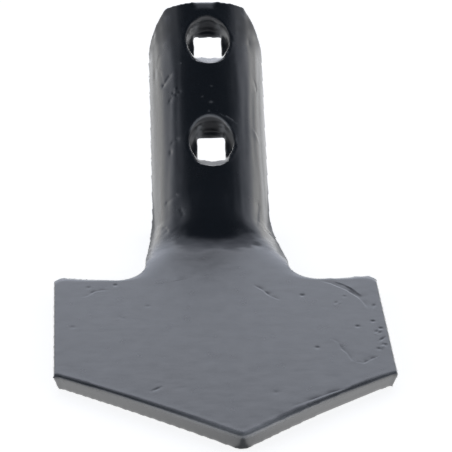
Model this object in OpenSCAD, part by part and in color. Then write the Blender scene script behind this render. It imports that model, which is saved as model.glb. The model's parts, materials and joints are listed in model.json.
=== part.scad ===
// Cultivator sweep: one hot-forged steel point for a spring tine.
// The blade lies flat, its upper face slightly crowned. At the bend the blank rises into a
// round-fronted shank with a channel behind it for the tine and two sunk holes for square-necked bolts.
// Frame: underside of the blade on z = 0, nose towards -Y, shank rising towards +Y, X across the wings.
// The origin lies on the centre line, level with the two cutting corners. Lengths are in millimetres.

/* [Blade] */
// Width across the wing ends
blade_w = 120; // [96:1:160]
// Length of each wing end, from the cutting corner back to the heel
wing_l = 65; // [56:1:70]
// Reach of the nose ahead of the cutting corners
nose_l = 37.5; // [26:0.5:50]
// Thickness on the centre line
blade_t = 6; // [5:0.5:8]
// Fall of the upper face from the centre line to the wing ends
blade_crown = 1; // [0:0.1:1.5]
// Radius of the nose, seen from above
nose_r = 3; // [1:0.5:8]
// Reach of the heels behind the root of the shoulders
heel_sweep = 5; // [2:0.5:8]
// Bevel across each heel corner
heel_bevel = 3; // [1:0.5:6]
// Roll on the upper edge of the blade
edge_r = 1; // [0.4:0.1:1.6]
// Inward lean of the wing ends over the thickness
edge_lean = 2.8; // [0:0.1:3]

/* [As forged] */
// Sideways lean of the nose
nose_lean = 6.5; // [-8:0.5:8]
// Sideways lean of the cutting corners
corner_lean = 2; // [-3:0.1:3]
// Sideways lean of the neck
neck_lean = 1; // [-2:0.1:2]
// Sideways lean of the shank over its length
shank_lean = -1.6; // [-3:0.1:3]
// Sideways lean of the bolt holes
hole_lean = 0.9; // [-1.5:0.1:1.5]
// Hollow along the left cutting edge
left_hollow = 0.8; // [0:0.1:3]
// Hollow along the right cutting edge
right_hollow = 1.5; // [0:0.1:3]

/* [Neck] */
// Width of the neck behind the shoulders
neck_w = 54; // [50:0.5:60]
// Radius between shoulder and neck
shoulder_r = 10.5; // [6:0.5:12]
// Distance from the cutting corners back to the bend
bend_y = 88; // [86:0.5:98]
// Radius of the bend on the front
bend_r = 18; // [10:1:24]
// Length over which the rolled sides of the shank run out onto the blade
neck_lead = 15; // [10:0.5:16]
// Length over which the rolled sides close into the round front of the shank
roll_run = 20; // [14:0.5:26]
// Length past the start of the bend over which the neck narrows to the shank
neck_run = 26; // [18:0.5:32]

/* [Shank] */
// Rise of the shank above the plane of the blade
shank_rise = 35.5; // [30:0.5:42]
// Length of the shank, from the bend to the end
shank_l = 105.5; // [100:0.5:130]
// Width of the shank
shank_w = 46; // [43:0.5:49]
// Height of the section, from the feet of the flanges to the ridge
shank_h = 16; // [14:0.5:18]
// Thickness between the ridge and the floor of the channel
shank_t = 10; // [9:0.5:11]
// Straight part of the end
end_flat = 31; // [22:1:36]
// Radius of the corners at the end
end_r = 28; // [24:1:36]

/* [Tine channel] */
// Width of the tine
tine_w = 32; // [28:1:34]
// Room on each side of the tine
tine_gap = 0.5; // [0.3:0.1:1]
// Radius in the corners of the channel
channel_r = 2; // [1:0.5:3]

/* [Bolt holes] */
// Square neck of the bolt
bolt_neck = 10; // [8:0.5:12]
// Room on each side of the bolt's neck
bolt_gap = 0.5; // [0.2:0.1:0.8]
// Distance between the two holes
hole_spacing = 45; // [40:1:48]
// Distance from the bend up to the lower hole
hole_rise = 43.5; // [38:0.5:45]
// Depth of the sunk seat for the bolt's head, below the ridge
sink_depth = 7.5; // [6:0.5:8]
// Width of the sunk seat at its floor
sink_floor_d = 15.4; // [13:0.1:17]
// Width of the sunk seat below its mouth
sink_d = 17.6; // [17.2:0.1:20]
// Depth of the flared mouth
mouth_depth = 1.7; // [1:0.1:2.5]
// Width of the flared mouth at the ridge
mouth_d = 21.6; // [20.2:0.1:23]

/* [Hidden] */
$fn = 96;

// Steps across the blank, and along the parts of it that curve
steps_across = 60;
steps_blade = 4;
steps_fillet = 8;
steps_neck = 24;
steps_shank = 10;
// Depth of the stock left under the form, trimmed off again by the flat faces
stock = 30;
// Overshoot of a cut past the face that it opens
over = 2;
// Reach ahead on the centre line of the rows that end at the heel and at the shoulder, as a share of half_w
heel_reach = 0.35;
root_reach = 0.1;
// Least share of the inset at a mitred corner, and least share of a wall's reach left where it leans in
mitre_floor = 0.5;
foot_floor = 0.5;
// Angles at which the roll of an edge is drawn
roll_angles = [0, 30, 60, 90];

half_w = blade_w / 2;
neck_half = neck_w / 2;
channel_w = tine_w + 2 * tine_gap;
hole_w = bolt_neck + 2 * bolt_gap;

// Radius of the round front, from the width and height of the section
shank_r = (pow(shank_w / 2, 2) + pow(shank_h, 2)) / (2 * shank_h);

// The middle line of the front: along the blade, round the bend and up the shank
bend_leg = bend_r * tan(shank_rise / 2);
bend_start = bend_y - bend_leg;
bend_arc = bend_r * shank_rise * PI / 180;
blank_end = bend_start + bend_arc + shank_l - bend_leg;

// Where the shoulder edge, run on straight, meets the side of the neck
root_y = wing_l - heel_sweep;
// Where the rolled sides of the shank start, on the radius of the shoulders at the earliest
roll_start = max(bend_start - neck_lead, neck_start(0) - shoulder_r / 2);
// Where the neck has narrowed to the width of the shank
neck_end = bend_start + neck_run;

function unit(p) = p / norm(p);
function mix(a, b, s) = a + (b - a) * s;
function inside(p) = [-p[1], p[0]];
function ease(s) = let(c = min(max(s, 0), 1)) c * c * (3 - 2 * c);

function turn(b) = min(max((b - bend_start) / bend_r * 180 / PI, 0), shank_rise);
function past(b) = max(b - bend_start - bend_arc, 0);
function lean_x(b) = shank_lean * max(b - bend_start - bend_arc + bend_leg, 0) / shank_l;
function line_y(b) = min(b, bend_start) + bend_r * sin(turn(b)) + past(b) * cos(shank_rise);
function line_z(b) = blade_t + bend_r * (1 - cos(turn(b))) + past(b) * sin(shank_rise);

// Side of the neck, sweep of the shoulder edge, and where the radius between the two ends
function neck_side(side) = neck_half + side * neck_lean;
function sweep_angle(side) = atan2(heel_sweep, half_w - neck_side(side));
function neck_start(side) =
    root_y + shoulder_r * tan(sweep_angle(side)) + shoulder_r / cos(sweep_angle(side));

// How far the front has gone from the crowned blade to the round shank
function formed(b) = ease((b - roll_start) / (bend_start + roll_run - roll_start));
// How far the neck has narrowed to the shank, from halfway between the shoulders and the bend
function narrowed(b, side) = let(narrow_start = (neck_start(side) + bend_start) / 2)
    ease((b - narrow_start) / (neck_end - narrow_start));
// Half the width at the foot, on the ground or on the feet of the flanges, and the foot's depth
function edge_x(b, side) = b < neck_start(side)
    ? neck_side(side) + shoulder_r - sqrt(max(pow(shoulder_r, 2) - pow(neck_start(side) - b, 2), 0))
    : mix(neck_side(side), shank_w / 2, narrowed(b, side));
function foot_depth(b) = min(shank_h, line_z(b) / cos(turn(b)));
// Depth of the rolled sides, and the flat that they leave along the middle of the front
function roll_depth(b) = (foot_depth(b) + over) * formed(b);
function reach(depth) = sqrt(pow(shank_r, 2) - pow(shank_r - depth, 2));
function flat_x(b, side) = max(edge_x(b, side) - reach(min(roll_depth(b), foot_depth(b))), 0);
// Distance over the front from its middle to the rim of a rolled side
function rim_u(b, side) = flat_x(b, side) + shank_r * acos(1 - roll_depth(b) / shank_r) * PI / 180;

// Turn of the rolled side at a distance u over the front, its place across and its fall
function side_turn(u, b) =
    b > roll_start ? max(abs(u) - flat_x(b, sign(u)), 0) / shank_r * 180 / PI : 0;
function across(u, b) = let(a = side_turn(u, b))
    a == 0 ? u : sign(u) * (flat_x(b, sign(u)) + shank_r * sin(a));
function fall(u, b) =
    shank_r * (1 - cos(side_turn(u, b))) + blade_crown * pow(u / half_w, 2) * (1 - formed(b));

// A point u across and b along the flat blank, pressed into form and set down below the front
function pressed(u, b, down) =
    let(h = fall(u, b) + down)
    [across(u, b) + lean_x(b), line_y(b) + h * sin(turn(b)), line_z(b) - h * cos(turn(b))];

// One side of the blank, from the cutting corner to the end of the shank: [u, b, b on the centre line]
function side_line(side) =
    let(
        corner = [half_w + side * corner_lean, 0],
        heel = [half_w, wing_l],
        sweep = sweep_angle(side),
        centre = [neck_side(side) + shoulder_r, neck_start(side)],
        along = unit(corner - heel),
        inward = [-cos(sweep), -sin(sweep)],
        before = heel + along * heel_bevel,
        after = heel + inward * heel_bevel,
        heel_mid = wing_l - heel_reach * half_w,
        root_mid = root_y - root_reach * half_w
    )
    concat(
        [for (i = [0 : steps_blade]) let(s = i / steps_blade)
            concat(mix(corner, before, s), mix(-nose_l, heel_mid, s))],
        [concat(after, heel_mid + over)],
        [for (i = [0 : steps_fillet])
            let(
                s = i / steps_fillet,
                a = mix(sweep - 90, -180, s),
                p = centre + shoulder_r * [cos(a), sin(a)],
                rolled = rim_u(p[1], side) - edge_x(p[1], side)
            )
            [p[0] + rolled, p[1], mix(root_mid, neck_start(0), s)]],
        [for (i = [1 : steps_neck]) let(s = i / steps_neck, b = mix(centre[1], neck_end, s))
            [rim_u(b, side), b, mix(neck_start(0), neck_end, s)]],
        [for (i = [1 : steps_shank]) let(b = mix(neck_end, blank_end + over, i / steps_shank))
            [rim_u(b, side), b, b]]
    );

right_line = side_line(1);
left_line = side_line(-1);
rows = len(right_line);

// Roll of the edge: [inset, drop] from the outer rim to the upper face
roll = [for (a = roll_angles) edge_r * [1 - cos(a), 1 - sin(a)]];
rolls = len(roll);

// A side moved inwards by an inset, mitred at its corners
function inset_line(side_points, inset) = [for (i = [0 : rows - 1])
    let(
        p = [for (q = side_points) [q[0], q[1]]],
        before = i == 0 ? unit(p[1] - p[0]) : unit(p[i] - p[i - 1]),
        after = i == rows - 1 ? before : unit(p[i + 1] - p[i]),
        normal = unit(inside(before) + inside(after)),
        mitre = 1 / max(normal * inside(after), mitre_floor)
    )
    concat(p[i] + normal * inset * mitre, side_points[i][2])];

right_rolls = [for (r = roll) inset_line(right_line, r[0])];
left_rolls = [for (r = roll) inset_line(left_line, r[0])];

// Rows of the blank: the roll of the cutting edge first, then every row of the two sides
cut_rows = concat([for (k = [0 : rolls - 1]) [0, k]], [for (i = [1 : rows - 1]) [i, rolls - 1]]);

// Chevron of a row: distance d from its middle point, softened by the radius of the nose
nose_soft = nose_r * nose_l / half_w;
function chevron(d) = sqrt(d * d + nose_soft * nose_soft) - nose_soft;

function row_point(i, lead, rim, s, side) =
    let(
        blade = max(1 - i / steps_blade, 0),
        middle = [nose_lean * blade, rim[2]],
        reach = side * rim[0] - middle[0],
        slope = (rim[1] - middle[1]) / chevron(abs(reach)),
        hollow = 4 * s * (1 - s) * blade * (side > 0 ? right_hollow : left_hollow),
        edge = lead / cos(atan(nose_l / half_w))
    )
    [middle[0] + reach * s, middle[1] + slope * chevron(abs(reach * s)) + hollow + edge];

// Points across one row: rolled left rim, blank, rolled right rim
function row(c) =
    let(
        i = c[0],
        lead = roll[c[1]],
        fade = 1 - formed(right_line[i][1]),
        left = left_rolls[rolls - 1][i],
        right = right_rolls[rolls - 1][i],
        lift = [for (k = [0 : rolls - 1]) max(lead[1], roll[k][1] * fade)]
    )
    concat(
        [for (k = [0 : rolls - 2])
            let(p = row_point(i, lead[0], left_rolls[k][i], 1, -1)) pressed(p[0], p[1], lift[k])],
        [for (j = [0 : steps_across])
            let(
                q = 2 * j / steps_across - 1,
                p = row_point(i, lead[0], q < 0 ? left : right, abs(q), q < 0 ? -1 : 1)
            )
            pressed(p[0], p[1], lead[1])],
        [for (k = [rolls - 2 : -1 : 0])
            let(p = row_point(i, lead[0], right_rolls[k][i], 1, 1)) pressed(p[0], p[1], lift[k])]
    );

grid = [for (c = cut_rows) row(c)];
grid_rows = len(grid);
grid_cols = len(grid[0]);

// The blank with stock under it: the pressed front above, walls that lean in, a flat below
module pressed_blank() {
    lean = edge_lean / (half_w * blade_t);
    top = [for (r = grid) for (p = r) p];
    middle = (grid_cols - 1) / 2;
    rim = concat(
        [for (j = [middle : grid_cols - 1]) j],
        [for (i = [1 : grid_rows - 1]) i * grid_cols + grid_cols - 1],
        [for (j = [grid_cols - 2 : -1 : 0]) (grid_rows - 1) * grid_cols + j],
        [for (i = [grid_rows - 2 : -1 : 0]) i * grid_cols],
        [for (j = [1 : middle - 1]) j]
    );
    // The cutting edge stays upright where the wing ends lean in
    foot = [for (i = rim)
        let(
            p = top[i],
            x = p[0] * max(1 - lean * (p[2] + stock), foot_floor),
            upright = i < grid_cols ? 1 : 0
        )
        [x, p[1] - upright * abs(p[0] - x) * nose_l / half_w, -stock]];
    n = len(rim);
    m = len(top);
    polyhedron(
        points = concat(top, foot),
        faces = concat(
            [for (i = [0 : grid_rows - 2]) for (j = [0 : grid_cols - 2]) for (h = [0, 1])
                let(a = i * grid_cols + j)
                h == 0 ? [a, a + grid_cols, a + grid_cols + 1] : [a, a + grid_cols + 1, a + 1]],
            [for (i = [0 : n - 1]) for (h = [0, 1])
                let(e = (i + 1) % n)
                h == 0 ? [rim[i], rim[e], m + e] : [rim[i], m + e, m + i]],
            [for (i = [0 : n / 2 - 2]) [m + i, m + i + 1, m + n - i - 1]],
            [for (i = [1 : n / 2 - 1]) [m + i, m + n - i - 1, m + n - i]]
        )
    );
}

// The shank's own frame: bend at the origin, Y up the shank, Z out of its front
module on_shank() {
    translate([0, bend_y, blade_t])
        rotate([shank_rise, 0, 0])
            rotate([0, 0, -atan(shank_lean / shank_l)])
                children();
}

// Everything below the underside of the blade
module below_blade() {
    translate([-blade_w, -blade_w, -2 * stock])
        cube([2 * blade_w, 4 * blade_w, 2 * stock]);
}

// Everything behind the feet of the two flanges
module behind_feet() {
    translate([-blade_w, -shank_l, -shank_h - blade_w])
        cube([2 * blade_w, 3 * shank_l, blade_w]);
}

// Channel behind the shank that takes the tine
module channel() {
    flat = channel_w / 2 - channel_r;
    translate([0, shank_l + 2 * over, -shank_t])
        rotate([90, 0, 0])
            linear_extrude(2 * shank_l) {
                translate([-flat, -shank_h])
                    square([2 * flat, shank_h]);
                translate([-channel_w / 2, -shank_h - channel_r])
                    square([channel_w, shank_h]);
                for (side = [-1, 1])
                    translate([side * flat, -channel_r])
                        circle(r = channel_r);
            }
}

// Everything past the end of the shank, with its rounded corners
module past_end() {
    shift = end_r - shank_w / 2;
    corner_y = shank_l - sqrt(pow(end_r, 2) - pow(end_flat / 2 + shift, 2));
    translate([0, 0, -2 * shank_h])
        linear_extrude(3 * shank_h)
            difference() {
                translate([-shank_w, corner_y])
                    square([2 * shank_w, shank_l]);
                intersection() {
                    translate([-shank_w, 0])
                        square([2 * shank_w, shank_l]);
                    translate([shift, corner_y])
                        circle(r = end_r);
                    translate([-shift, corner_y])
                        circle(r = end_r);
                }
            }
}

// Square hole for the bolt's neck, with the sunk seat and flared mouth for its head
module bolt_hole() {
    flare = (mouth_d - sink_d) / mouth_depth;
    translate([-hole_w / 2, -hole_w / 2, -shank_h])
        cube([hole_w, hole_w, shank_h]);
    rotate_extrude()
        polygon([
            [0, -sink_depth],
            [sink_floor_d / 2, -sink_depth],
            [sink_d / 2, -mouth_depth],
            [(mouth_d + flare * over) / 2, over],
            [0, over]
        ]);
}

module sweep() {
    color("dimgray")
        difference() {
            pressed_blank();
            below_blade();
            on_shank() {
                behind_feet();
                channel();
                past_end();
                for (i = [0, 1])
                    translate([hole_lean, hole_rise + i * hole_spacing, 0])
                        bolt_hole();
            }
        }
}

sweep();
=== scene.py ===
"""Cultivator sweep in black paint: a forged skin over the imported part, its paint and a plain studio."""

import json
import math

import bmesh
import bpy
import numpy as np
from mathutils import Matrix, Vector, noise


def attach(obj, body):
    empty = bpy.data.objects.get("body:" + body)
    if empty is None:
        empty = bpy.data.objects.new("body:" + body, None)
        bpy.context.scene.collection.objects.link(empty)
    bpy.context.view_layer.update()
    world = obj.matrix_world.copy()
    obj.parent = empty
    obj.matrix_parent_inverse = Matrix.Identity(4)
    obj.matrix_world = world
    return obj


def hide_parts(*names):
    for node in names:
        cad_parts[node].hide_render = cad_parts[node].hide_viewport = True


MM = 0.001

# Skin: distance of points that are welded, size of its cells, turn of their grid, how often it is eased, how
# level a flat is, the cells kept round its rim, the share of the others that are joined; easing of the neck
# and the spans of y, in millimetres, in which it begins and ends
WELD = 0.002 * MM
SKIN_CELL = 0.605 * MM
GRID_TURN = Matrix.Rotation(math.radians(-7.0), 4, "Z")
EASE_PASSES = 36
FLAT = 0.9998
FLAT_MARGIN = 2
FLAT_SHARE = 0.97
NECK_EASE_PASSES = 120
NECK_EASE_START = (60.0, 70.0)
NECK_EASE_END = (106.0, 96.0)

# Shank, in millimetres: round front, sideways lean per millimetre, end with its worn middle, bend, holes and
# their sunk seats, the burr on the lower one
SHANK_R = 24.5
SHANK_LEAN = -1.6 / 105.5
SHANK_END = 39.5
END_WEAR = 1.5
END_LIP = 0.6
END_WEAR_START = 35.2
END_WEAR_HALF = 3.6
SHANK_BEND = -66.0
HOLE_SPACING = 45.0
HOLE_LEAN = 0.9
RECESS_R = 9.6
RECESS_DEPTH = 7.6
SEAT_RIM = 10.8
SEAT_FLARE = 1.18
SEAT_LOW_RIM = 11.2
SEAT_SLOPES = (0.92, 0.82)
SEAT_DEPTH = 6.0
SEAT_BURR = 0.12

# Blade: (x, y) of the cutting edge's nose and its two corners, and the span of y in which the marks end
NOSE = (6.5, -37.5)
RIGHT_CORNER = (62.0, 0.0)
LEFT_CORNER = (-58.0, 0.0)
BLADE_END = (96.0, 90.0)

# Wear of the cutting edge towards each corner: depth and reach. Its rubbed paint: strength and half width
EDGE_WEAR = ((RIGHT_CORNER, 0.40, 1.9), (LEFT_CORNER, 0.12, 1.2))
EDGE_RUBS = ((RIGHT_CORNER, 1.0, 1.5), (LEFT_CORNER, 0.7, 1.0))

# Laps on the blade: scale of their drops, and the lines of (x, y) points where the skin drops towards the
# back, as (points, drop, run-out); a drop below 0 is a rise
LAP_SCALE = 1.4
BLADE_LAPS = [
    ([(37.1, 60.8), (42.6, 58.4), (47.9, 54.0), (51.8, 49.3), (53.7, 44.9), (54.8, 40.6)], 0.26, 5.0),
    ([(43.2, 60.4), (47.7, 57.4), (51.2, 53.2), (53.6, 48.9)], -0.18, 4.0),
    ([(12.9, 58.0), (16.9, 53.7), (19.3, 49.7), (23.5, 46.2)], 0.24, 2.0),
    ([(39.9, 21.3), (42.0, 18.8), (43.0, 14.7), (45.0, 11.5), (46.0, 7.5), (47.3, 6.3)], 0.16, 2.0),
    ([(47.3, 6.3), (50.4, 5.6), (53.3, 8.1), (56.6, 10.6)], 0.16, 2.0),
    ([(-48.7, 50.1), (-46.4, 51.8), (-44.5, 54.0), (-41.8, 54.8), (-38.5, 54.4)], 0.15, 2.0),
    ([(-24.4, 58.2), (-17.4, 59.7), (-10.3, 62.2), (-6.0, 65.7)], -0.05, 3.0),
    ([(23.4, -21.5), (30.6, -17.3), (37.9, -12.7), (45.6, -8.7)], 0.18, 1.6),
]

# Pits in the blade: (x, y, radius, depth)
BLADE_PITS = [
    (31.5, 50.0, 0.8, 0.20), (43.7, 45.0, 0.9, 0.12), (46.9, 49.6, 0.7, 0.08), (50.1, 29.4, 0.8, 0.17),
    (34.7, 15.3, 0.8, 0.14), (55.9, 33.0, 0.7, 0.20), (57.1, 25.8, 1.0, 0.24), (58.6, 17.6, 0.9, 0.20),
    (57.1, 43.7, 0.8, 0.08), (18.6, -12.7, 1.0, 0.06), (58.3, 28.4, 0.7, 0.18), (56.4, 15.0, 0.8, 0.13),
    (-46.7, 57.1, 0.9, 0.10), (-36.9, 58.3, 0.8, 0.16), (-34.6, 36.0, 0.9, 0.10), (-25.0, 43.3, 0.9, 0.07),
    (-51.9, 30.6, 0.9, 0.07), (29.5, -20.3, 0.8, 0.16), (32.2, -19.2, 0.8, 0.16), (39.9, -14.6, 0.8, 0.14),
    (16.8, 85.6, 2.0, 0.30),
]

# Cuts in the blade: two ends as (x, y), half width and depth
BLADE_CUTS = [
    ((-23.8, -11.2), (-20.6, -8.7), 0.6, 0.14), ((-15.8, -9.6), (-10.6, -8.9), 0.8, 0.02),
    ((56.2, 24.6), (58.2, 27.2), 0.5, -0.18), ((57.0, 19.8), (59.2, 22.6), 0.5, 0.20),
    ((57.6, 15.4), (59.0, 18.8), 0.5, -0.16), ((56.4, 41.0), (58.0, 45.6), 0.5, 0.10),
    ((43.2, 43.6), (45.4, 46.0), 0.6, -0.10), ((-36.0, 34.8), (-33.0, 37.2), 0.7, -0.07),
]

# Dents in the shank: (degrees round the front, up from between the holes, half width, half length, depth)
SHANK_DENTS = [
    (-45.4, 5.6, 0.9, 1.0, 0.14), (-38.2, -25.1, 0.8, 1.2, 0.14), (-56.4, 11.9, 0.9, 2.4, 0.12),
    (-33.5, 0.3, 0.7, 0.6, 0.14), (-30.8, 1.7, 0.6, 0.6, -0.10), (-26.5, -0.1, 0.8, 0.6, 0.12),
    (-30.0, -1.0, 0.7, 0.6, 0.10), (45.1, 24.4, 1.0, 2.0, 0.12), (-28.7, -51.1, 0.8, 1.0, 0.09),
    (-26.9, -52.9, 0.8, 1.2, 0.08), (-56.9, 29.8, 1.0, 0.9, 0.25), (-65.9, 20.2, 1.2, 0.9, 0.15),
    (2.4, -5.9, 0.6, 0.5, -0.10), (0.4, -9.9, 0.5, 0.5, -0.08), (-5.3, -3.5, 0.5, 0.5, -0.05),
    (3.4, 1.1, 0.6, 0.5, -0.06), (-24.1, 12.5, 0.5, 0.5, -0.05),
]

# Cuts in the shank: two ends as (degrees, up), half width and depth
SHANK_CUTS = [
    ((-44.4, 5.4), (-37.4, 8.4), 0.5, 0.17), ((-37.5, -2.5), (-35.3, -1.6), 0.5, 0.10),
    ((52.1, 7.2), (53.2, 4.8), 0.5, 0.14), ((-36.2, -21.1), (-31.4, -20.3), 0.5, 0.14),
    ((-44.3, -45.8), (-33.7, -44.1), 0.45, 0.14), ((-44.7, -57.1), (-41.6, -58.5), 0.6, 0.14),
    ((47.8, -15.5), (51.0, -17.5), 0.6, -0.10), ((48.4, -47.3), (44.2, -54.0), 0.8, 0.12),
    ((53.2, -57.8), (62.6, -58.7), 0.5, 0.18), ((-52.3, 15.2), (-50.6, 18.0), 0.6, 0.08),
    ((-48.5, 11.5), (-45.5, 8.0), 0.6, 0.05),
]

# Wrinkled bend: spans up the shank in which it begins and ends, in millimetres
BEND_START = (-73.0, -68.0)
BEND_END = (-50.0, -62.0)

# Swelling of the neck's middle above the bend: height, and the spans across and up the shank in which it
# begins and ends
NECK_SWELL = 0.85
SWELL_LEFT = (-14.0, -5.0)
SWELL_RIGHT = (18.0, 4.0)
SWELL_START = (-65.0, -56.0)
SWELL_END = (-42.0, -54.0)

# Notch in the left side of the neck: (x, y, z), radius and depth
NECK_NOTCH = ((-25.3, 88.7, 2.0), 1.1, 0.5)

# Rubbed spots and scratches on the shank: two ends as (degrees, up), half width and strength
SHANK_RUBS = [
    ((2.0, -5.9), (3.0, -5.9), 0.5, 0.40), ((0.2, -9.9), (0.6, -9.9), 0.4, 0.30),
    ((-5.6, -3.5), (-5.0, -3.5), 0.4, 0.18), ((3.2, 1.1), (3.8, 1.1), 0.4, 0.18),
    ((-24.4, 12.5), (-23.8, 12.5), 0.4, 0.18), ((16.6, -11.7), (22.6, -13.0), 0.35, 0.40),
    ((10.8, -11.0), (26.4, -14.1), 0.45, 0.12),
]

# Painted sheen in the sunk seats: grey patches on both sides above the square hole, where the rough wall
# catches
# light: distance aside, half width, strength at the upper and the lower hole, size and seed of their grain;
# and half width of the painted highlight along the lower hole's upper rim
SHEEN_PATCH_ASIDE = 4.6
SHEEN_PATCH_HALF = 1.4
SHEEN_PATCH_STRENGTHS = (0.4, 0.9)
SHEEN_PATCH_GRAIN = ((1.6, 1.6, 1.6), 43.0)
RIM_HIGHLIGHT_HALF = 0.45

# Ripples left along the shank by the forging: a crest on each side in degrees, their spacing and height,
# how far they wander, and the degrees between which they begin
RIPPLE_CRESTS = (-36.0, 40.0)
RIPPLE_SPACING = 5.6
RIPPLE_HEIGHT = 0.034
RIPPLE_WANDER = 0.6
RIPPLE_SIDES = (18.0, 34.0)

# Unevenness as (height, size of the lumps along each axis, seed), in millimetres: the whole skin, long and
# fine streaks on the shank's unrolled front and the span in which they begin, waves and wrinkles in the bend,
# the punched walls; and the size and seed of the grain in the matt paint near the end
SKIN_LUMPS = (
    (0.03, (14.0, 14.0, 9.0), 3.0), (0.022, (5.0, 4.0, 4.0), 11.0), (0.010, (5.0, 1.8, 1.8), 17.0),
)
LONG_STREAKS = (0.07, (9.0, 30.0, 1.0), 23.0)
FINE_STREAKS = (0.02, (1.6, 12.0, 1.0), 29.0)
STREAKS_START = (-62.0, -45.0)
BEND_WAVES = (0.22, (6.0, 8.0, 8.0), 38.3)
BEND_WRINKLES = (0.035, (3.2, 1.6, 1.6), 41.0)
PUNCH_LUMPS = (0.24, (2.8, 2.8, 2.8), 31.0)
MATT_GRAIN = ((4.0, 4.0, 4.0), 47.0)

# Dull paint: how dull the wall below the lower hole is, and where the shank's sides turn matt, up the shank
# and in degrees round it
FOOT_DULL = 0.8
MATT_START = (16.0, 30.0)
MATT_SIDES = (18.0, 36.0)

# Paint: darker and lighter tone, tone where it is rubbed and of the painted sheen and highlight in the seats,
# span of its roughness, how much rougher it is and how much coat is left where it is dull, roughness of the
# coat, refraction
PAINT_TONES = ((0.006, 0.0078, 0.0112, 1.0), (0.009, 0.0112, 0.0155, 1.0))
RUBBED_AND_SHEEN_TONE = (0.36, 0.37, 0.38, 1.0)
ROUGHNESS = (0.20, 0.28)
DULL_ROUGHER = 0.25
DULL_COAT = 0.3
COAT_ROUGHNESS = 0.2
PAINT_IOR = 1.5

# Table: half its side, its gap below the part, its tone and its glow to the camera. Then its glow in
# reflections, which is painted light and shade, with the spans along y or aside, in metres, over which it
# changes: a painted pool of light at the part's front that dims as painted shade in front of the part and
# beyond, painted shadow below the shank, and painted shadow at the nose
TABLE_HALF = 3.0
TABLE_GAP = 0.3 * MM
TABLE_TONE = (0.85, 0.85, 0.84, 1.0)
TABLE_GLOW = 0.80
# Painted light and shade: the glow in reflections is brightest at the part's front and dimmer in front and
# behind
GLOW_IN_FRONT = ((-0.08, 0.0), (0.4, 1.4))
GLOW_BEYOND = ((0.02, 0.08), (1.0, 0.84))
# Painted shadow: the glow in reflections dimmed below the shank and before the nose
SHANK_SHADOW_ASIDE = (0.058, 0.03)
SHANK_SHADOW_START = (0.08, 0.10)
SHANK_SHADOW_END = (0.24, 0.19)
SHANK_SHADOW_GLOW = 0.12
NOSE_SHADOW_ASIDE = (0.006, 0.002)
NOSE_SHADOW_START = (-0.034, -0.039)
NOSE_SHADOW_GLOW = 0.2

# Studio: the dark ceiling, the light at the sides, behind and in front as (height, colour), and the spans of
# x and y over which the light behind and in front take over
CEILING = (0.035, 0.045, 0.06)
SIDE_LIGHT = [
    (0.0, (1.4, 1.4, 1.38)), (0.17, (1.2, 1.2, 1.2)), (0.34, (0.81, 0.84, 0.92)),
    (0.5, (0.41, 0.44, 0.51)), (0.64, (0.18, 0.20, 0.24)), (0.8, CEILING), (1.0, CEILING),
]
BACK_LIGHT = [
    (0.0, (0.91, 0.96, 1.10)), (0.5, (0.95, 1.01, 1.15)), (0.58, (1.28, 1.335, 1.49)),
    (0.635, (0.47, 0.50, 0.58)), (0.77, (0.42, 0.45, 0.53)), (0.87, (0.33, 0.36, 0.42)),
    (0.914, (0.18, 0.20, 0.24)), (0.951, (0.05, 0.06, 0.08)), (1.0, CEILING),
]
FRONT_LIGHT = [
    (0.0, (0.7, 0.7, 0.72)), (0.15, (0.5, 0.5, 0.53)), (0.3, (0.2, 0.2, 0.22)),
    (0.45, (0.06, 0.07, 0.08)), (0.6, CEILING), (1.0, CEILING),
]
BACK_SPANS = ((0.55, 0.20), (0.0, 0.2))
FRONT_SPANS = ((0.75, 0.45), (0.0, -0.3))

# Camera, from the photograph: aim in millimetres, angles in degrees, focal length in pixels of the frame
FRAME_PX = 452
CAMERA_AIM = (4.625, 84.901, 15.0)
CAMERA_DISTANCE = 848.8
CAMERA_AZIMUTH = -2.232
CAMERA_ELEVATION = 30.217
CAMERA_ROLL = 0.692
FOCAL_PX = 2252.7

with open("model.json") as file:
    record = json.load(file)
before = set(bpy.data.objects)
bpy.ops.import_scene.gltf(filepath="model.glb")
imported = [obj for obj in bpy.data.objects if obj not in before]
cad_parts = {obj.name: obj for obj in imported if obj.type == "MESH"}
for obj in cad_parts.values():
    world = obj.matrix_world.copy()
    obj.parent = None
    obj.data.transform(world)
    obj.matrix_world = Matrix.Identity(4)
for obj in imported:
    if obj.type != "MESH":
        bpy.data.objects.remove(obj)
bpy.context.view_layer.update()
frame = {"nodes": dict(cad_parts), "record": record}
mounts = {m["name"]: m for m in frame["record"]["mounts"]}

# Shank's own axes: straight out of its front at the holes, and up along it
out_axis = np.array(mounts["bolt_holes"]["axis"])
up_axis = np.cross(out_axis, (1.0, 0.0, 0.0))


def smooth_step(low, high, value):
    """0 where the value is at low, 1 at high, and a smooth way between."""
    share = np.clip((value - low) / (high - low), 0.0, 1.0)
    return share * share * (3.0 - 2.0 * share)


def eased(points, edges, passes, keep=0.53, pull=0.5, weight=None):
    """Points drawn towards their neighbours and pushed back a little, so that the form softens but keeps."""
    ends = np.concatenate([edges[:, 0], edges[:, 1]])
    others = np.concatenate([edges[:, 1], edges[:, 0]])
    count = np.maximum(np.bincount(ends, minlength=len(points)), 1)
    free = 1.0 if weight is None else weight[:, None]
    for _ in range(passes):
        for share in (pull, -keep) if keep else (pull,):
            mean = np.stack(
                [np.bincount(ends, points[others, k], len(points)) / count for k in range(3)], axis=1
            )
            points = points + share * free * (mean - points)
    return points


def mesh_points(mesh):
    points = np.empty(len(mesh.vertices) * 3)
    mesh.vertices.foreach_get("co", points)
    return points.reshape(-1, 3)


def mesh_normals(mesh):
    normals = np.empty(len(mesh.vertices) * 3)
    mesh.vertices.foreach_get("normal", normals)
    return normals.reshape(-1, 3)


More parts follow.
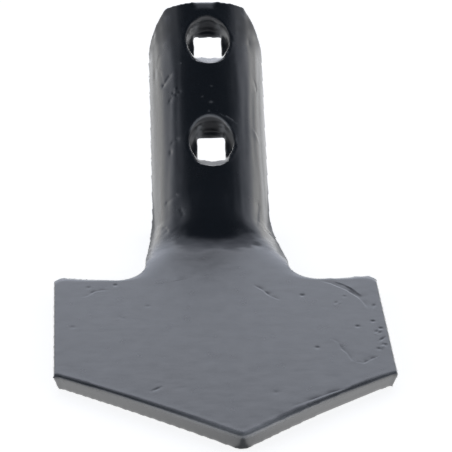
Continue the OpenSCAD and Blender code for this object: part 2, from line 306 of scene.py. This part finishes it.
def mesh_edges(mesh):
    edges = np.empty(len(mesh.edges) * 2, dtype=np.int32)
    mesh.edges.foreach_get("vertices", edges)
    return edges.reshape(-1, 2)


def set_points(mesh, points):
    mesh.vertices.foreach_set("co", points.reshape(-1))
    mesh.update()


def dense_skin(node):
    """A new object over a CAD node: its form in even small cells, with edges as soft as on a forging."""
    mesh = frame["nodes"][node].data.copy()
    bm = bmesh.new()
    bm.from_mesh(mesh)
    bmesh.ops.remove_doubles(bm, verts=bm.verts, dist=WELD)
    bm.to_mesh(mesh)
    bm.free()
    mesh.transform(GRID_TURN)
    rough = bpy.data.objects.new("rough_skin", mesh)
    bpy.context.collection.objects.link(rough)
    remesh = rough.modifiers.new("cells", "REMESH")
    remesh.mode = "VOXEL"
    remesh.voxel_size = SKIN_CELL
    skin_mesh = bpy.data.meshes.new_from_object(rough.evaluated_get(bpy.context.evaluated_depsgraph_get()))
    skin_mesh.name = "forged_sweep"
    skin_mesh.transform(GRID_TURN.inverted())
    skin_mesh.materials.clear()
    bpy.data.objects.remove(rough)
    skin = bpy.data.objects.new("forged_sweep", skin_mesh)
    bpy.context.collection.objects.link(skin)
    set_points(skin_mesh, eased(mesh_points(skin_mesh), mesh_edges(skin_mesh), EASE_PASSES))
    return skin


def join_flats(skin):
    """Joins the cells on the underside, the feet and the channel's floor, where the form is flat."""
    normals = mesh_normals(skin.data)
    flat = (normals[:, 2] < -FLAT) | (normals @ out_axis < -FLAT)
    edges = mesh_edges(skin.data)
    for _ in range(FLAT_MARGIN):
        rim = edges[flat[edges[:, 0]] != flat[edges[:, 1]]]
        flat[rim.reshape(-1)] = False
    group = skin.vertex_groups.new(name="flat")
    group.add(np.nonzero(flat)[0].tolist(), 1.0, "REPLACE")
    join = skin.modifiers.new("join", "DECIMATE")
    join.vertex_group = group.name
    join.ratio = 1.0 - FLAT_SHARE * np.count_nonzero(flat) / len(flat)
    joined = bpy.data.meshes.new_from_object(skin.evaluated_get(bpy.context.evaluated_depsgraph_get()))
    skin.modifiers.clear()
    skin.vertex_groups.clear()
    skin.data = joined


def split_cells(skin, chosen):
    """Splits the chosen faces of the skin, so that they can carry a finer mark."""
    bm = bmesh.new()
    bm.from_mesh(skin.data)
    edges = dict.fromkeys(e for f, wanted in zip(bm.faces, chosen) if wanted for e in f.edges)
    bmesh.ops.subdivide_edges(bm, edges=list(edges), cuts=1, use_grid_fill=True)
    bm.to_mesh(skin.data)
    bm.free()


def line_distance(spots, line):
    """Signed distance of each spot from a line of points, positive to its left, and the share along it."""
    best = np.full(len(spots), 1e9)
    side = np.zeros(len(spots))
    share = np.zeros(len(spots))
    legs = list(zip(line[:-1], line[1:]))
    for k, (a, b) in enumerate(legs):
        a, b = np.array(a), np.array(b)
        run = b - a
        s = np.clip(((spots - a) @ run) / (run @ run), 0.0, 1.0)
        off = spots - a - s[:, None] * run
        distance = np.hypot(off[:, 0], off[:, 1])
        nearer = distance < best
        best = np.where(nearer, distance, best)
        side = np.where(nearer, np.sign(run[0] * off[:, 1] - run[1] * off[:, 0]), side)
        share = np.where(nearer, (k + s) / len(legs), share)
    return best * side, share


def shank_place(points):
    """Places on the shank, in millimetres: across, up from mid-holes, out of the ridge; turn, in radians."""
    middle = np.array(mounts["bolt_holes"]["pos_m"]) / MM
    off = points - middle
    up = off @ up_axis
    across = off[:, 0] + middle[0] - SHANK_LEAN * (up - SHANK_BEND)
    out = off @ out_axis
    return across, up, out, np.arctan2(across, out + SHANK_R)


def front_depth(across, out):
    """Depth below the shank's round front, in millimetres."""
    return SHANK_R - np.hypot(across, out + SHANK_R)


def on_front(across, out):
    """1 on the shank's round front, and 0 where the form lies well below it."""
    return smooth_step(2.0, 0.6, front_depth(across, out))


def unrolled_line(start, end):
    """Line between two places given as (degrees, up), on the unrolled front."""
    return [(math.radians(degrees) * SHANK_R, height) for degrees, height in (start, end)]


def hole_place(across, up):
    """Distance from the nearer hole's middle, and how far above it, in millimetres."""
    above = np.where(up > 0.0, up - HOLE_SPACING / 2, up + HOLE_SPACING / 2)
    return np.hypot(across - HOLE_LEAN, above), above


def seat_rim(across):
    """Radius of the sunk seat's mouth, which narrows where the round front falls away."""
    return SEAT_RIM - SEAT_FLARE * across ** 2 / (2.0 * SHANK_R)


def lumps(points, size, seed):
    """Smooth noise of about -1 to 1, with lumps of the given size along each axis in millimetres."""
    scale = Vector((1.0 / size[0], 1.0 / size[1], 1.0 / size[2]))
    start = Vector((seed, 0.37 * seed, -0.71 * seed))
    return np.array([noise.noise(Vector(p) * scale + start) for p in points.tolist()])


def unevenness(points, uneven):
    """Lumps of a given height, from their (height, size, seed)."""
    height, size, seed = uneven
    return height * lumps(points, size, seed)


def face_centres(mesh):
    centres = np.empty(len(mesh.polygons) * 3)
    mesh.polygons.foreach_get("center", centres)
    return centres.reshape(-1, 3)


def face_normals(mesh):
    normals = np.empty(len(mesh.polygons) * 3)
    mesh.polygons.foreach_get("normal", normals)
    return normals.reshape(-1, 3)


def forging_marks(points, normals):
    """How far each point stands proud of the form, in millimetres, and whether a sharp mark reaches it."""
    proud = np.zeros(len(points))
    sharp = np.zeros(len(points), dtype=bool)

    # Blade: laps, pits and cuts in the upper face
    upper = smooth_step(0.5, 0.8, normals[:, 2]) * smooth_step(*BLADE_END, points[:, 1])
    spots = points[:, :2]
    for line, drop, run_out in BLADE_LAPS:
        distance, share = line_distance(spots, line)
        ends = np.sin(math.pi * share) * (0.75 + 0.25 * np.sin(19.0 * share + 40.0 * drop))
        step = smooth_step(-0.3, 0.35, distance) * np.exp(-np.maximum(distance, 0.0) / run_out * 2.0)
        near = np.abs(distance) < 3.0 * run_out
        proud -= LAP_SCALE * upper * ends * drop * step * near
        sharp |= (np.abs(distance) < 1.0) & (upper > 0.5)
    for x, y, radius, depth in BLADE_PITS:
        reach = np.hypot(spots[:, 0] - x, spots[:, 1] - y) / radius
        proud -= upper * depth * np.exp(-reach ** 2)
        sharp |= (reach < 2.0) & (upper > 0.5)
    for start, end, half_width, depth in BLADE_CUTS:
        distance, share = line_distance(spots, [start, end])
        distance = np.abs(distance) / half_width
        proud -= upper * depth * np.exp(-distance ** 2) * np.sin(math.pi * np.clip(share, 0.1, 0.9))
        sharp |= (distance < 2.0) & (upper > 0.5)

    # Cutting edge: worn round, more so along the right
    for corner, wear, reach in EDGE_WEAR:
        distance, share = line_distance(spots, [NOSE, corner])
        rough = 0.6 + 0.5 * np.sin(41.0 * share) * np.sin(17.0 * share + 1.0)
        proud -= upper * wear * rough * np.sin(math.pi * share) * np.exp(-(distance / reach) ** 2)

    # Shank: dents and cuts round its front, placed from the middle between the holes
    across, up, out, turn = shank_place(points)
    front = on_front(across, out)
    for degrees, height, half_width, half_length, depth in SHANK_DENTS:
        along = (up - height) / half_length
        aside = (turn - math.radians(degrees)) * SHANK_R / half_width
        proud -= front * depth * np.exp(-along ** 2 - aside ** 2)
        sharp |= (along ** 2 + aside ** 2 < 4.0) & (front > 0.5)
    unrolled = np.stack([turn * SHANK_R, up], axis=1)
    for start, end, half_width, depth in SHANK_CUTS:
        distance = line_distance(unrolled, unrolled_line(start, end))[0] / half_width
        distance = np.where(distance < 0.0, -distance / 2.5, distance)
        proud -= front * depth * np.exp(-distance ** 2)
        sharp |= (distance < 1.2) & (front > 0.5)

    # Rubbed spots: no depth, but sharp
    for start, end, half_width, _ in SHANK_RUBS:
        distance = np.abs(line_distance(unrolled, unrolled_line(start, end))[0])
        sharp |= (distance < 2.0 * half_width) & (front > 0.5)

    # Lower hole: a burr along the upper rim of its seat
    reach, above = hole_place(across, up)
    distance = np.abs(reach - seat_rim(across))
    rim = front * smooth_step(3.0, 7.0, above) * (up < 0.0)
    proud += SEAT_BURR * rim * np.exp(-(distance / 0.4) ** 2)
    sharp |= (distance < 0.8) & (rim > 0.5)

    # Neck: a notch in its left side
    place, radius, depth = NECK_NOTCH
    reach = np.linalg.norm(points - np.array(place), axis=1) / radius
    proud -= depth * np.exp(-reach ** 2)
    sharp |= reach < 2.0
    return proud, sharp


def ease_neck(skin):
    """Smooths the upper side of the neck, where the blade turns into the shank; its rims stay put."""
    points = mesh_points(skin.data)
    y = points[:, 1] / MM
    weight = smooth_step(*NECK_EASE_START, y) * smooth_step(*NECK_EASE_END, y)
    weight *= smooth_step(0.55, 0.8, mesh_normals(skin.data)[:, 2])
    edges = mesh_edges(skin.data)
    edges = edges[(weight[edges] > 0.0).any(axis=1)]
    set_points(skin.data, eased(points, edges, NECK_EASE_PASSES, keep=0.0, weight=weight))


def slope_seat(points, across, up, out):
    """The lower wall of each sunk seat brought to an even slope from its mouth down to the square hole."""
    reach, above = hole_place(across, up)
    depth = front_depth(across, out)
    low = smooth_step(-0.60, -0.92, above / np.maximum(reach, 1.0))
    slope = np.where(up > 0.0, *SEAT_SLOPES)
    inside = (reach < SEAT_LOW_RIM) * smooth_step(SEAT_DEPTH + 0.8, SEAT_DEPTH, depth)
    pull = low * inside * smooth_step(-0.15, 0.15, depth) * (reach - SEAT_LOW_RIM + slope * depth)
    off = (across - HOLE_LEAN)[:, None] * np.array((1.0, 0.0, 0.0)) + above[:, None] * up_axis
    return points - (pull / np.maximum(reach, 1.0))[:, None] * off


def wear_end(points, across, up, out):
    """The middle of the end's front edge worn to a slope, with a slight lip."""
    depth = front_depth(across, out)
    share = np.clip((up - END_WEAR_START) / (SHANK_END - END_WEAR_START), 0.0, 1.0) ** 1.5
    share *= smooth_step(END_WEAR_HALF + 2.0, END_WEAR_HALF - 1.0, np.abs(across))
    share *= smooth_step(5.0, 1.0, depth)
    return points + share[:, None] * (END_LIP * up_axis - END_WEAR * out_axis)


def rubbed_and_sheen(points):
    """How far the paint is rubbed (spots, scratches, cutting edge), with a painted highlight along the lower
    hole's upper rim and painted sheen on the seat walls.
    """
    across, up, out, turn = shank_place(points)
    front = on_front(across, out)
    unrolled = np.stack([turn * SHANK_R, up], axis=1)
    amount = np.zeros(len(points))
    for start, end, half_width, strength in SHANK_RUBS:
        distance = line_distance(unrolled, unrolled_line(start, end))[0] / half_width
        amount = np.maximum(amount, front * strength * np.exp(-distance ** 2))

    reach, above = hole_place(across, up)
    # Painted highlight: a grey line along the lower hole's upper rim
    rim = front * np.exp(-((reach - seat_rim(across)) / RIM_HIGHLIGHT_HALF) ** 2)
    amount = np.maximum(amount, rim * smooth_step(3.0, 7.0, above) * smooth_step(5.0, 0.0, up))
    # Painted sheen: grey patches on both sides of each seat's upper wall, where the rough wall catches light
    wall = (reach < seat_rim(across) - 1.0) * smooth_step(-1.0, -2.5, out) * smooth_step(2.5, 4.5, above)
    sides = np.exp(-((np.abs(across - HOLE_LEAN) - SHEEN_PATCH_ASIDE) / SHEEN_PATCH_HALF) ** 2)
    sides *= smooth_step(-0.6, 0.2, lumps(points, *SHEEN_PATCH_GRAIN))
    amount = np.maximum(amount, np.where(up > 0.0, *SHEEN_PATCH_STRENGTHS) * wall * sides)

    edge = smooth_step(4.0, 5.2, points[:, 2])
    for corner, strength, half_width in EDGE_RUBS:
        distance = line_distance(points[:, :2], [NOSE, corner])[0] / half_width
        amount = np.maximum(amount, edge * strength * np.exp(-distance ** 2))
    return amount


def forge(skin):
    """Gives the skin its laps, pits, dents, wrinkled bend, rough punched holes and worn end."""
    ease_neck(skin)
    split_cells(skin, forging_marks(face_centres(skin.data) / MM, face_normals(skin.data))[1])
    points = mesh_points(skin.data) / MM
    normals = mesh_normals(skin.data)
    across, up, out, turn = shank_place(points)

    proud = forging_marks(points, normals)[0]
    above = smooth_step(0.0, 1.5, points[:, 2])
    for uneven in SKIN_LUMPS:
        proud += above * unevenness(points, uneven)
    streaks = np.stack([turn * SHANK_R, up, np.zeros_like(up)], axis=1)
    front = on_front(across, out)
    on_shank = smooth_step(*STREAKS_START, up) * front
    long_height, *long_form = LONG_STREAKS
    wander = lumps(streaks, *long_form)
    proud += on_shank * (long_height * wander + unevenness(streaks, FINE_STREAKS))
    crest = np.radians(np.where(turn < 0.0, RIPPLE_CRESTS[0], RIPPLE_CRESTS[1])) * SHANK_R
    ripple = np.cos(2.0 * math.pi * ((turn * SHANK_R - crest) / RIPPLE_SPACING + RIPPLE_WANDER * wander))
    proud += RIPPLE_HEIGHT * on_shank * smooth_step(*RIPPLE_SIDES, np.degrees(np.abs(turn))) * ripple

    # Bend: waves and fine wrinkles in the skin, and the swelling above it
    bend = smooth_step(*BEND_START, up) * smooth_step(*BEND_END, up)
    bend *= smooth_step(0.5, 0.75, normals[:, 2])
    proud += bend * (unevenness(points, BEND_WAVES) + unevenness(points, BEND_WRINKLES))
    swell = smooth_step(*SWELL_LEFT, across) * smooth_step(*SWELL_RIGHT, across)
    proud += NECK_SWELL * swell * smooth_step(*SWELL_START, up) * smooth_step(*SWELL_END, up) * front

    # Holes: rough punched walls above each square
    reach, above_hole = hole_place(across, up)
    punched = smooth_step(RECESS_R + 0.6, RECESS_R - 0.8, reach) * smooth_step(0.2, -1.0, out)
    punched *= smooth_step(-RECESS_DEPTH - 3.0, -RECESS_DEPTH - 1.0, out)
    punched *= smooth_step(-6.0, -2.0, above_hole)
    proud += punched * unevenness(points, PUNCH_LUMPS)

    # Dull paint: the punched walls, the lower seat, and the shank's sides near the end
    depth = front_depth(across, out)
    foot = smooth_step(0.2, 0.8, depth) * smooth_step(-4.0, -8.0, above_hole) * (reach < SEAT_LOW_RIM + 0.5)
    flare = smooth_step(0.1, 0.4, depth) * smooth_step(-2.0, 1.0, above_hole) * (reach < SEAT_RIM)
    dull = np.maximum(FOOT_DULL * foot, flare) * (up < 0.0)
    dull = np.maximum(dull, punched * smooth_step(-2.0, 1.0, above_hole))
    matt = front * smooth_step(*MATT_START, up) * smooth_step(*MATT_SIDES, np.degrees(np.abs(turn)))
    dull = np.maximum(dull, matt * smooth_step(-0.9, 0.1, lumps(points, *MATT_GRAIN)))
    dullness = skin.data.attributes.new("dull", "FLOAT", "POINT")
    dullness.data.foreach_set("value", dull)
    # Rubbed paint, together with the painted sheen and highlight in the seats
    rub_and_sheen = skin.data.attributes.new("rubbed_and_sheen", "FLOAT", "POINT")
    rub_and_sheen.data.foreach_set("value", rubbed_and_sheen(points))
    points = slope_seat(points + normals * proud[:, None], across, up, out)
    points = wear_end(points, across, up, out)
    set_points(skin.data, points * MM)
    skin.data.shade_smooth()


def node_of(tree, kind, **sockets):
    node = tree.nodes.new(kind)
    for name, value in sockets.items():
        node.inputs[name.replace("_", " ")].default_value = value
    return node


def smooth_range(tree, source, reach, values):
    """A value that goes smoothly from the first to the second as its source crosses the reach."""
    node = node_of(tree, "ShaderNodeMapRange", From_Min=reach[0], From_Max=reach[1])
    node.inputs["To Min"].default_value, node.inputs["To Max"].default_value = values
    node.interpolation_type = "SMOOTHSTEP"
    tree.links.new(source, node.inputs["Value"])
    return node.outputs["Result"]


def multiplied(tree, a, b):
    node = tree.nodes.new("ShaderNodeMath")
    node.operation = "MULTIPLY"
    tree.links.new(a, node.inputs[0])
    tree.links.new(b, node.inputs[1])
    return node.outputs["Value"]


def beside(tree, source, middle):
    """Distance of a value from a middle one."""
    off = tree.nodes.new("ShaderNodeMath")
    off.operation = "SUBTRACT"
    tree.links.new(source, off.inputs[0])
    off.inputs[1].default_value = middle
    distance = tree.nodes.new("ShaderNodeMath")
    distance.operation = "ABSOLUTE"
    tree.links.new(off.outputs["Value"], distance.inputs[0])
    return distance.outputs["Value"]


def black_paint():
    """Satin black paint, uneven in tone and gloss, with fine orange peel; rubbed or dull in places, with
    painted sheen and a painted highlight in the sunk seats.
    """
    material = bpy.data.materials.new("black_paint")
    material.use_nodes = True
    tree = material.node_tree
    paint = tree.nodes["Principled BSDF"]
    paint.inputs["IOR"].default_value = PAINT_IOR
    paint.inputs["Specular IOR Level"].default_value = 1.0
    paint.inputs["Coat Roughness"].default_value = COAT_ROUGHNESS
    paint.inputs["Coat IOR"].default_value = PAINT_IOR

    place = tree.nodes.new("ShaderNodeTexCoord")

    patches = node_of(tree, "ShaderNodeTexNoise", Scale=45.0, Detail=5.0, Roughness=0.6)
    tree.links.new(place.outputs["Object"], patches.inputs["Vector"])
    shade = tree.nodes.new("ShaderNodeValToRGB")
    shade.color_ramp.elements[0].position = 0.3
    shade.color_ramp.elements[0].color = PAINT_TONES[0]
    shade.color_ramp.elements[1].position = 0.7
    shade.color_ramp.elements[1].color = PAINT_TONES[1]
    tree.links.new(patches.outputs["Fac"], shade.inputs["Fac"])
    # Lighter grey where the paint is rubbed and where sheen and highlight are painted in the seats
    rubs_and_sheen = tree.nodes.new("ShaderNodeAttribute")
    rubs_and_sheen.attribute_name = "rubbed_and_sheen"
    worn_and_sheen = tree.nodes.new("ShaderNodeMix")
    worn_and_sheen.data_type = "RGBA"
    worn_and_sheen.inputs["B"].default_value = RUBBED_AND_SHEEN_TONE
    tree.links.new(rubs_and_sheen.outputs["Fac"], worn_and_sheen.inputs["Factor"])
    tree.links.new(shade.outputs["Color"], worn_and_sheen.inputs["A"])
    tree.links.new(worn_and_sheen.outputs["Result"], paint.inputs["Base Color"])

    gloss = node_of(tree, "ShaderNodeMapRange", From_Min=0.3, From_Max=0.7)
    gloss.inputs["To Min"].default_value, gloss.inputs["To Max"].default_value = ROUGHNESS
    mottle = node_of(tree, "ShaderNodeTexNoise", Scale=160.0, Detail=4.0, Roughness=0.6)
    tree.links.new(place.outputs["Object"], mottle.inputs["Vector"])
    tree.links.new(mottle.outputs["Fac"], gloss.inputs["Value"])
    dull = tree.nodes.new("ShaderNodeAttribute")
    dull.attribute_name = "dull"
    rougher = tree.nodes.new("ShaderNodeMath")
    rougher.operation = "MULTIPLY_ADD"
    rougher.inputs[1].default_value = DULL_ROUGHER
    tree.links.new(dull.outputs["Fac"], rougher.inputs[0])
    tree.links.new(gloss.outputs["Result"], rougher.inputs[2])
    tree.links.new(rougher.outputs["Value"], paint.inputs["Roughness"])
    coat = smooth_range(tree, dull.outputs["Fac"], (0.0, 1.0), (1.0, DULL_COAT))
    tree.links.new(coat, paint.inputs["Coat Weight"])

    peel = node_of(tree, "ShaderNodeTexNoise", Scale=700.0, Detail=2.0, Roughness=0.5)
    tree.links.new(place.outputs["Object"], peel.inputs["Vector"])
    bump = node_of(tree, "ShaderNodeBump", Strength=0.10, Distance=0.1 * MM)
    tree.links.new(peel.outputs["Fac"], bump.inputs["Height"])
    tree.links.new(bump.outputs["Normal"], paint.inputs["Normal"])
    tree.links.new(bump.outputs["Normal"], paint.inputs["Coat Normal"])
    return material


def white_floor():
    """A table top that is white to the camera and takes the shadow, with a glow of its own in reflections
    that is painted light: a pool of it at the part's front, painted shade towards the camera and behind,
    and painted shadow below the shank and before the nose.
    """
    mesh = bpy.data.meshes.new("floor")
    half = TABLE_HALF
    corners = [(-half, -half, 0), (half, -half, 0), (half, half, 0), (-half, half, 0)]
    mesh.from_pydata(corners, [], [(0, 1, 2, 3)])
    floor = bpy.data.objects.new("floor", mesh)
    floor.location.z = -TABLE_GAP
    bpy.context.collection.objects.link(floor)
    material = bpy.data.materials.new("white_table")
    material.use_nodes = True
    tree = material.node_tree
    tree.nodes.remove(tree.nodes["Principled BSDF"])
    path = tree.nodes.new("ShaderNodeLightPath")
    seen = tree.nodes.new("ShaderNodeMath")
    seen.operation = "MAXIMUM"
    tree.links.new(path.outputs["Is Glossy Ray"], seen.inputs[0])
    tree.links.new(path.outputs["Is Transmission Ray"], seen.inputs[1])
    place = tree.nodes.new("ShaderNodeNewGeometry")
    split = tree.nodes.new("ShaderNodeSeparateXYZ")
    tree.links.new(place.outputs["Position"], split.inputs["Vector"])
    # Painted pool of light at the part's front, with painted shade towards the camera and behind it
    near = multiplied(
        tree, smooth_range(tree, split.outputs["Y"], *GLOW_IN_FRONT),
        smooth_range(tree, split.outputs["Y"], *GLOW_BEYOND),
    )
    # Painted shadow below the shank
    under = multiplied(
        tree, smooth_range(tree, beside(tree, split.outputs["X"], 0.0), SHANK_SHADOW_ASIDE, (0.0, 1.0)),
        multiplied(
            tree, smooth_range(tree, split.outputs["Y"], SHANK_SHADOW_START, (0.0, 1.0)),
            smooth_range(tree, split.outputs["Y"], SHANK_SHADOW_END, (0.0, 1.0)),
        ),
    )
    # Painted shadow before the nose
    before = multiplied(
        tree, smooth_range(tree, beside(tree, split.outputs["X"], NOSE[0] * MM), NOSE_SHADOW_ASIDE, (0.0, 1.0)),
        smooth_range(tree, split.outputs["Y"], NOSE_SHADOW_START, (0.0, 1.0)),
    )
    outside_painted_shadows = multiplied(
        tree, smooth_range(tree, under, (0.0, 1.0), (1.0, SHANK_SHADOW_GLOW)),
        smooth_range(tree, before, (0.0, 1.0), (1.0, NOSE_SHADOW_GLOW)),
    )
    mirrored = multiplied(tree, seen.outputs["Value"], multiplied(tree, near, outside_painted_shadows))
    glow = tree.nodes.new("ShaderNodeMath")
    glow.operation = "MULTIPLY_ADD"
    tree.links.new(path.outputs["Is Camera Ray"], glow.inputs[0])
    glow.inputs[1].default_value = TABLE_GLOW
    tree.links.new(mirrored, glow.inputs[2])
    light = node_of(tree, "ShaderNodeEmission", Color=(1.0, 1.0, 1.0, 1.0))
    tree.links.new(glow.outputs["Value"], light.inputs["Strength"])
    matt = node_of(tree, "ShaderNodeBsdfDiffuse", Color=TABLE_TONE)
    both = tree.nodes.new("ShaderNodeAddShader")
    tree.links.new(light.outputs["Emission"], both.inputs[0])
    tree.links.new(matt.outputs["BSDF"], both.inputs[1])
    tree.links.new(both.outputs["Shader"], tree.nodes["Material Output"].inputs["Surface"])
    mesh.materials.append(material)


def ramp(tree, stops):
    node = tree.nodes.new("ShaderNodeValToRGB")
    elements = node.color_ramp.elements
    while len(elements) > 1:
        elements.remove(elements[-1])
    elements[0].position, elements[0].color = stops[0][0], (*stops[0][1], 1.0)
    for position, color in stops[1:]:
        elements.new(position).color = (*color, 1.0)
    return node


def studio_light():
    """Soft light from low all round, a tall pale backdrop behind, and a dark ceiling that is low in front."""
    world = bpy.data.worlds.new("studio")
    bpy.context.scene.world = world
    world.use_nodes = True
    tree = world.node_tree
    background = tree.nodes["Background"]
    place = tree.nodes.new("ShaderNodeTexCoord")
    split = tree.nodes.new("ShaderNodeSeparateXYZ")
    tree.links.new(place.outputs["Generated"], split.inputs["Vector"])
    aside = beside(tree, split.outputs["X"], 0.0)

    def by_height(stops):
        node = ramp(tree, stops)
        tree.links.new(split.outputs["Z"], node.inputs["Fac"])
        return node.outputs["Color"]

    def blend(under, over, factor):
        node = tree.nodes.new("ShaderNodeMix")
        node.data_type = "RGBA"
        tree.links.new(factor, node.inputs["Factor"])
        tree.links.new(under, node.inputs["A"])
        tree.links.new(over, node.inputs["B"])
        return node.outputs["Result"]

    backed = multiplied(
        tree, smooth_range(tree, aside, BACK_SPANS[0], (0.0, 1.0)),
        smooth_range(tree, split.outputs["Y"], BACK_SPANS[1], (0.0, 1.0)),
    )
    faced = multiplied(
        tree, smooth_range(tree, aside, FRONT_SPANS[0], (0.0, 1.0)),
        smooth_range(tree, split.outputs["Y"], FRONT_SPANS[1], (0.0, 1.0)),
    )
    around = blend(blend(by_height(SIDE_LIGHT), by_height(BACK_LIGHT), backed), by_height(FRONT_LIGHT), faced)

    path = tree.nodes.new("ShaderNodeLightPath")
    white = tree.nodes.new("ShaderNodeRGB")
    white.outputs["Color"].default_value = (1.0, 1.0, 1.0, 1.0)
    shown = blend(around, white.outputs["Color"], path.outputs["Is Camera Ray"])
    tree.links.new(shown, background.inputs["Color"])


def camera():
    """The photograph's viewpoint."""
    azimuth, elevation, roll = (math.radians(a) for a in (CAMERA_AZIMUTH, CAMERA_ELEVATION, CAMERA_ROLL))
    back = Vector((
        math.sin(azimuth) * math.cos(elevation), -math.cos(azimuth) * math.cos(elevation), math.sin(elevation)
    ))
    level = Vector((math.cos(azimuth), math.sin(azimuth), 0.0))
    upward = back.cross(level)
    right = level * math.cos(roll) + upward * math.sin(roll)
    top = upward * math.cos(roll) - level * math.sin(roll)
    place = Matrix((right, top, back)).transposed().to_4x4()
    place.translation = (Vector(CAMERA_AIM) + back * CAMERA_DISTANCE) * MM
    data = bpy.data.cameras.new("camera")
    data.sensor_width = 36.0
    data.lens = data.sensor_width * FOCAL_PX / FRAME_PX
    eye = bpy.data.objects.new("camera", data)
    eye.matrix_world = place
    bpy.context.collection.objects.link(eye)
    bpy.context.scene.camera = eye


sweep = dense_skin("sweep")
join_flats(sweep)
forge(sweep)
sweep.data.materials.append(black_paint())
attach(sweep, "root")
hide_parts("sweep")

white_floor()
studio_light()
camera()
bpy.context.scene.view_settings.view_transform = "Standard"
